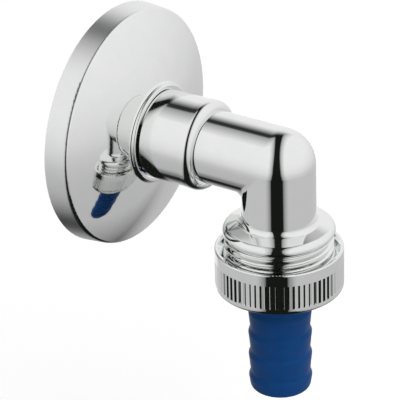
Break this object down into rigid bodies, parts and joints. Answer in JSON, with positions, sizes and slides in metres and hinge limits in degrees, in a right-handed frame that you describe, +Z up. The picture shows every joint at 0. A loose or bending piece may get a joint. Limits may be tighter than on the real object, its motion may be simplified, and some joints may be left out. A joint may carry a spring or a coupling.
{
  "type": "hose connection elbow",
  "caption": "Chromed wall elbow with sliding escutcheon, knurled union nut and barbed hose tail, with a spring check valve inside, for joining a hose to a wall outlet.",
  "frame": {"origin": "on the inlet axis in the wall plane, where the escutcheon's back rests", "axes": "+Y into the wall along the inlet, -Y out of the wall, +Z up, with the outlet pointing down along -Z"},
  "size_m": [0.06, 0.0701, 0.0905],
  "materials": {
    "chrome": "polished chrome on brass",
    "blue_plastic": "moulded, semi-gloss",
    "rubber": "matt",
    "white_plastic": "moulded",
    "spring_steel": "drawn wire"
  },
  "bodies": {
    "elbow": {"elbow_body": "chrome", "valve_housing": "white_plastic", "valve_guide": "white_plastic", "housing_o_ring": "rubber", "valve_spring": "spring_steel"},
    "escutcheon": {"escutcheon": "chrome"},
    "tail": {"hose_tail": "blue_plastic", "flat_gasket": "rubber"},
    "nut": {"union_nut": "chrome"},
    "poppet": {"valve_poppet": "white_plastic", "poppet_seal": "rubber"}
  },
  "joints": [
    {"name": "escutcheon_slide", "type": "slide", "parent": "elbow", "child": "escutcheon", "axis": [0, -1, 0], "range_m": [0, 0.0114]},
    {"name": "tail_drop", "type": "slide", "parent": "elbow", "child": "tail", "axis": [0, 0, -1], "range_m": [0, 0.0046]},
    {"name": "nut_turn", "type": "hinge", "parent": "tail", "child": "nut", "pos_m": [0, -0.0465, -0.027], "axis": [0, 0, -1], "range_deg": [0, 900]},
    {"name": "poppet_lift", "type": "slide", "parent": "elbow", "child": "poppet", "axis": [0, 0, -1], "range_m": [0, 0.0025], "stiffness_N_per_m": 200, "springref_m": -0.0015, "deforming": ["valve_spring"]}
  ],
  "couplings": [
    {"joint": "tail_drop", "follows": "nut_turn", "m_per_rad": 0.00028871}
  ]
}
